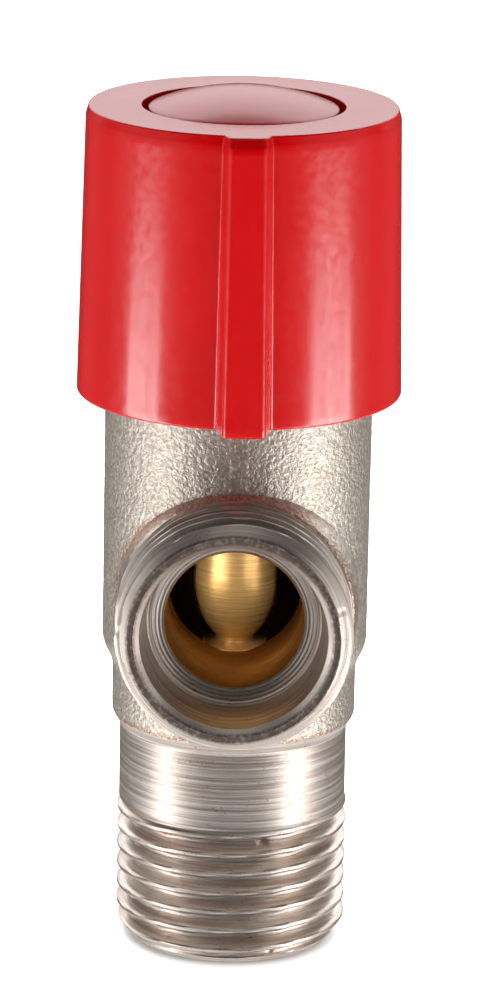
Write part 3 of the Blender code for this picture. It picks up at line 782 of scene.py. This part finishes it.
def make_knob(material):
    """The knob with its pointer: rows run up the outside, over the top and down the inside."""
    rows = []
    for step in range(7):
        turn = math.radians(90 * step / 6)
        rise = KNOB_FOOT_FILLET * (1 - math.cos(turn))
        inset = KNOB_FOOT_FILLET * (1 - math.sin(turn))
        height = KNOB_BASE + rise
        rows.append(knob_row(KNOB_BASE_RADIUS - inset, height, pointer_at(height, inset)))
    wall_low, wall_high = KNOB_BASE + KNOB_FOOT_FILLET, KNOB_TOP - KNOB_LIP
    for share in np.linspace(0.0, 1.0, 40)[1:-1]:
        height = wall_low + (wall_high - wall_low) * share
        radius = KNOB_BASE_RADIUS + (KNOB_TOP_RADIUS - KNOB_BASE_RADIUS) * share
        rows.append(knob_row(radius, height, pointer_at(height, 0.0)))
    for share in np.linspace(0.0, 1.0, 5)[:-1]:
        height = wall_high + (KNOB_LIP - KNOB_EDGE) * share
        inset = KNOB_LIP_LEAN * share
        rows.append(knob_row(KNOB_TOP_RADIUS - inset, height, pointer_at(height, inset)))
    for step in range(7):
        turn = math.radians(90 * step / 6)
        inset = KNOB_LIP_LEAN + KNOB_EDGE * (1 - math.cos(turn))
        height = KNOB_TOP - KNOB_EDGE + KNOB_EDGE * math.sin(turn)
        rows.append(knob_row(KNOB_TOP_RADIUS - inset, height, pointer_at(height, inset)))
    inner_base = KNOB_BASE_RADIUS - KNOB_WALL
    inner_top = KNOB_TOP_RADIUS - KNOB_WALL
    tip_hole = 1.8
    rest = rounded(
        (
            (13.0, KNOB_TOP, 0),
            (12.4, KNOB_TOP, 0),
            (CAP_RECESS, KNOB_TOP, 0.12),
            (CAP_RECESS, CAP_RECESS_FLOOR, 0),
            (SCREW_POCKET, CAP_RECESS_FLOOR, 0),
            (SCREW_POCKET, HUB_FLOOR, 0),
            (tip_hole, HUB_FLOOR, 0),
            (tip_hole, HUB_BASE, 0),
            (HUB_RADIUS, HUB_BASE, 0.2),
            (HUB_RADIUS, KNOB_CEILING, 0.3),
            (inner_top, KNOB_CEILING, 0.6),
            (inner_base, KNOB_BASE, 0),
        )
    )
    for radius, height in rest:
        half = POINTER_TOP_WIDTH / 2 + POINTER_FOOT + POINTER_SKIRT
        half = math.asin(min(0.9, half / max(radius, 4.0)))
        angles = np.linspace(-half, half, POINTER_COLUMNS)
        others = np.linspace(half, 2 * math.pi - half, COLUMNS - POINTER_COLUMNS + 2)[1:-1]
        angles = math.radians(POINTER_ANGLE) + np.concatenate([angles, others])
        level = np.full(COLUMNS, height)
        rows.append(np.stack([radius * np.cos(angles), radius * np.sin(angles), level], axis=1))
    knob = grid_object("lift_knob", np.array(rows), ring=True)
    knob.data.materials.append(material)
    knob.data.set_sharp_from_angle(angle=math.radians(50))
    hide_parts("knob")
    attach(knob, "knob")
    return knob


def make_cap(material):
    """The domed cap in the knob's top."""
    rise = CAP_APEX - CAP_RIM
    sphere = (CAP_RADIUS**2 + rise**2) / (2 * rise)
    sweep = math.asin((CAP_RADIUS - 0.2) / sphere)
    dome = [
        (sphere * math.sin(sweep * share), CAP_APEX - sphere * (1 - math.cos(sweep * share)), 0)
        for share in np.linspace(1.0, 0.0, 24)
    ]
    floor = CAP_RECESS_FLOOR + 0.3
    outline = rounded(
        (
            (0.0, floor + 0.4, 0),
            (3.3, floor + 0.4, 0),
            (3.3, CAP_FOOT, 0),
            (SCREW_POCKET - 0.3, CAP_FOOT, 0),
            (SCREW_POCKET - 0.3, floor, 0),
            (CAP_RADIUS, floor, 0),
            (CAP_RADIUS, CAP_RIM - 0.05, 0.3),
            *dome,
        )
    )
    cap = turned("knob_cap_dome", outline, 256)
    cap.data.materials.append(material)
    cap.data.set_sharp_from_angle(angle=math.radians(50))
    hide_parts("knob_cap")
    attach(cap, "knob")
    return cap


def make_plunger():
    """The brass plunger, seen through the outlet."""
    nose = [
        (max(NOSE_TIP_RADIUS, PLUNGER_RADIUS * math.cos(turn)), NOSE_TOP - NOSE_LENGTH * math.sin(turn), 0)
        for turn in np.linspace(math.acos(NOSE_TIP_RADIUS / PLUNGER_RADIUS), 0.0, 24)
    ]
    outline = rounded(
        (
            (0.0, PLUNGER_BASE + SCREW_HOLE_DEPTH + 0.4, 0),
            (SCREW_HOLE, PLUNGER_BASE + SCREW_HOLE_DEPTH, 0),
            (SCREW_HOLE, PLUNGER_BASE, 0),
            (PLUNGER_FOOT_RADIUS, PLUNGER_BASE, 0.1),
            (PLUNGER_FOOT_RADIUS, PLUNGER_BASE + 0.6, 0.1),
            (NOSE_TIP_RADIUS, PLUNGER_BASE + 0.6, 0.2),
            *nose,
            (PLUNGER_RADIUS, GROOVE_LOW, 0.05),
            (GROOVE_RADIUS, GROOVE_LOW, 0),
            (GROOVE_RADIUS, GROOVE_HIGH, 0),
            (PLUNGER_RADIUS, GROOVE_HIGH, 0.05),
            (PLUNGER_RADIUS, PLUNGER_TOP, 0.3),
            (STEM_SOCKET, PLUNGER_TOP, 0),
            (STEM_SOCKET, STEM_SOCKET_FLOOR, 0),
            (0.0, STEM_SOCKET_FLOOR - 0.2, 0),
        )
    )
    plunger = turned("turned_plunger", subdivided(outline, 0.3), 192)
    colour, dark = (0.95, 0.62, 0.24), (0.62, 0.34, 0.09)
    finish = raw_brass("plunger_brass", colour, dark, 0.36, height_above_inlet, 0.55)
    plunger.data.materials.append(finish)
    plunger.data.set_sharp_from_angle(angle=math.radians(40))
    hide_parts("plunger")
    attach(plunger, "lifter")
    return plunger


def finish_hidden_pieces():
    """The CAD nodes that stay shown take finishes by their material."""
    finishes = {
        "brass": plain_finish("machined_brass", (0.70, 0.46, 0.17), 1.0, 0.28, 900.0, 0.25),
        "steel": plain_finish("drawn_steel", (0.55, 0.55, 0.56), 1.0, 0.30, 1400.0, 0.2),
        "rubber": plain_finish("black_rubber", (0.025, 0.024, 0.024), 0.0, 0.62, 2600.0, 0.5),
        "acetal": plain_finish("white_acetal", (0.78, 0.77, 0.73), 0.0, 0.42, 700.0, 0.08),
    }
    groups = {
        "brass": ("bonnet", "adjusting_ring", "spring_seat", "stem"),
        "steel": (
            "spring_washer",
            "spring",
            "stem_circlip",
            "disc_washer",
            "disc_screw",
            "knob_washer",
            "knob_screw",
        ),
        "rubber": ("bonnet_o_ring", "plunger_o_ring", "seat_disc"),
        "acetal": ("stem_bush", "cam_ring", "cam_follower"),
    }
    for key, names in groups.items():
        for name in names:
            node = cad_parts[name]
            if not node.material_slots:
                node.data.materials.append(finishes[key])
            for slot in node.material_slots:
                slot.material = finishes[key]


# ---------------------------------------------------------------- stage, light and camera


def make_camera():
    data = bpy.data.cameras.new("camera")
    data.lens = CAMERA_LENS
    data.sensor_width = CAMERA_SENSOR
    data.clip_start = 0.01
    data.clip_end = 20.0
    camera = bpy.data.objects.new("camera", data)
    bpy.context.scene.collection.objects.link(camera)
    pitch = Matrix.Rotation(math.radians(CAMERA_PITCH), 4, "X")
    roll = Matrix.Rotation(math.radians(CAMERA_ROLL), 4, "Z")
    camera.matrix_world = Matrix.Translation(Vector(CAMERA_PLACE) * MM) @ (pitch @ roll)
    bpy.context.scene.camera = camera


def make_floor():
    half = 3.0
    mesh = bpy.data.meshes.new("floor")
    corners = [(-half, -half, 0), (half, -half, 0), (half, half, 0), (-half, half, 0)]
    mesh.from_pydata(corners, [], [(0, 1, 2, 3)])
    floor = bpy.data.objects.new("floor", mesh)
    bpy.context.scene.collection.objects.link(floor)
    finish = Finish("pale_floor", (0.86, 0.86, 0.86), 0.0, 0.75)
    mist = finish.noise(finish.place, 900.0, 2.0)
    finish.set("Base Color", finish.mixed(mist, (0.85, 0.85, 0.85), (0.87, 0.87, 0.87)))
    finish.shader.inputs["Specular IOR Level"].default_value = 0.1
    mesh.materials.append(finish.material)
    # The floor stays out of the metal's reflections, as a light table's even white would.
    floor.visible_glossy = False
    floor.visible_shadow = False
    return floor


def around(azimuth, distance, height):
    """A place round the valve, in metres; azimuth 0 is in front of the outlet and +90 to its right."""
    turn = math.radians(azimuth)
    return (distance * math.sin(turn), -distance * math.cos(turn), height)


def area_light(name, place, aim, size, radiance):
    """A soft rectangular light that the camera doesn't see."""
    data = bpy.data.lights.new(name, "AREA")
    data.shape = "RECTANGLE"
    data.size, data.size_y = size
    data.energy = radiance * math.pi * size[0] * size[1]
    light = bpy.data.objects.new(name, data)
    bpy.context.scene.collection.objects.link(light)
    light.location = place
    light.rotation_euler = (Vector(aim) - light.location).to_track_quat("-Z", "Y").to_euler()
    light.visible_camera = False
    return light


def lit_only(light, name, objects):
    """Keeps a light to a few objects."""
    group = bpy.data.collections.new(name)
    for obj in objects:
        group.objects.link(obj)
    light.light_linking.receiver_collection = group


def make_world():
    """A dim room: glowing sides, a white table and a bright wall behind; seen straight, it is white."""
    world = bpy.data.worlds.new("studio")
    bpy.context.scene.world = world
    world.use_nodes = True
    tree = world.node_tree
    tree.nodes.clear()

    def ramp(value, low, high, start, end):
        node = tree.nodes.new("ShaderNodeMapRange")
        node.interpolation_type = "SMOOTHSTEP"
        for socket, number in zip(list(node.inputs)[1:5], (low, high, start, end)):
            socket.default_value = number
        tree.links.new(value, node.inputs["Value"])
        return node.outputs["Result"]

    def combined(operation, first, second):
        node = tree.nodes.new("ShaderNodeMath")
        node.operation = operation
        for socket, value in zip(node.inputs, (first, second)):
            if isinstance(value, float):
                socket.default_value = value
            else:
                tree.links.new(value, socket)
        return node.outputs[0]

    split = tree.nodes.new("ShaderNodeSeparateXYZ")
    tree.links.new(tree.nodes.new("ShaderNodeTexCoord").outputs["Generated"], split.inputs[0])
    aside, back, up = split.outputs
    level = combined("SUBTRACT", 1.0001, combined("MULTIPLY", up, up))
    behind = combined("DIVIDE", back, combined("SQRT", level, 0.0))
    behind = ramp(behind, 0.45, 0.85, 0.0, 1.0)
    climb = combined("ADD", combined("MULTIPLY", up, WALL_CLIMB), WALL_FOOT)
    bright_top = ramp(up, 0.73, 0.76, 1.0, 0.4)
    wall_end = ramp(up, 0.83, 0.87, 1.0, 0.0)
    above_table = ramp(up, 0.0, 0.05, 0.0, 1.0)
    wall = behind
    for factor in (climb, bright_top, wall_end, above_table):
        wall = combined("MULTIPLY", wall, factor)
    sideways = combined("ABSOLUTE", aside, 0.0)
    sides = ramp(sideways, 0.35, 0.75, 0.0, SIDE_WALLS)
    toward_glow = combined("MULTIPLY", sideways, GLOW_ASIDE)
    toward_glow = combined("SUBTRACT", toward_glow, combined("MULTIPLY", back, GLOW_FORWARD))
    glow = ramp(toward_glow, 0.76, 0.97, 0.0, SIDE_GLOW)
    sides = combined("ADD", sides, glow)
    sides = combined("MULTIPLY", sides, ramp(combined("ABSOLUTE", up, 0.0), 0.35, 0.6, 1.0, 0.0))
    table = ramp(up, -0.32, -0.62, 0.0, TABLE)
    ceiling = ramp(up, 0.89, 0.96, 0.0, CEILING)
    room = combined("ADD", wall, ROOM)
    for term in (sides, table, ceiling):
        room = combined("ADD", room, term)
    seen = tree.nodes.new("ShaderNodeLightPath").outputs["Is Camera Ray"]
    brightness = combined("MAXIMUM", room, seen)
    backdrop = tree.nodes.new("ShaderNodeBackground")
    tree.links.new(brightness, backdrop.inputs["Strength"])
    out = tree.nodes.new("ShaderNodeOutputWorld")
    tree.links.new(backdrop.outputs[0], out.inputs[0])


def make_lights(floor, knob, cap, plunger):
    """Upright strips on both sides, sheen for the plastic, cards in the outlet and a wash on the floor."""
    middle = STRIP_TOP - STRIP_HEIGHT / 2
    aim = (0, 0, middle)
    for name, azimuth, width, sheen_width in (("left", -70, 0.085, 0.10), ("right", 67, 0.115, 0.13)):
        place = around(azimuth, STRIP_DISTANCE, middle)
        area_light(f"{name}_strip", place, aim, (width, STRIP_HEIGHT), STRIP_RADIANCE)
        sheen = area_light(f"{name}_sheen", place, aim, (sheen_width, STRIP_HEIGHT), SHEEN_RADIANCE)
        sheen.visible_diffuse = False
        lit_only(sheen, f"{name}_sheen_lit", [knob, cap])
    port_middle = Vector((0, -PORT_CARD_REACH, OUTLET_HEIGHT * MM))
    for side, radiance in ((-1, 5.0), (1, 2.2)):
        place = port_middle + Vector((side * PORT_CARD_SIDE, 0, 0))
        card = area_light(f"port_card_{side}", place, port_middle, PORT_CARD_SIZE, radiance)
        lit_only(card, f"port_card_{side}_lit", [plunger])
    wash = area_light("floor_wash", around(0, 0.0, 1.5), (0, 0.001, 0), (3.0, 3.0), 4.0)
    wash.visible_glossy = False
    lit_only(wash, "washed", [floor])


bpy.context.scene.view_settings.view_transform = "Standard"
make_camera()
make_body()
red = red_plastic()
knob = make_knob(red)
cap = make_cap(red)
plunger = make_plunger()
finish_hidden_pieces()
floor = make_floor()
make_world()
make_lights(floor, knob, cap, plunger)
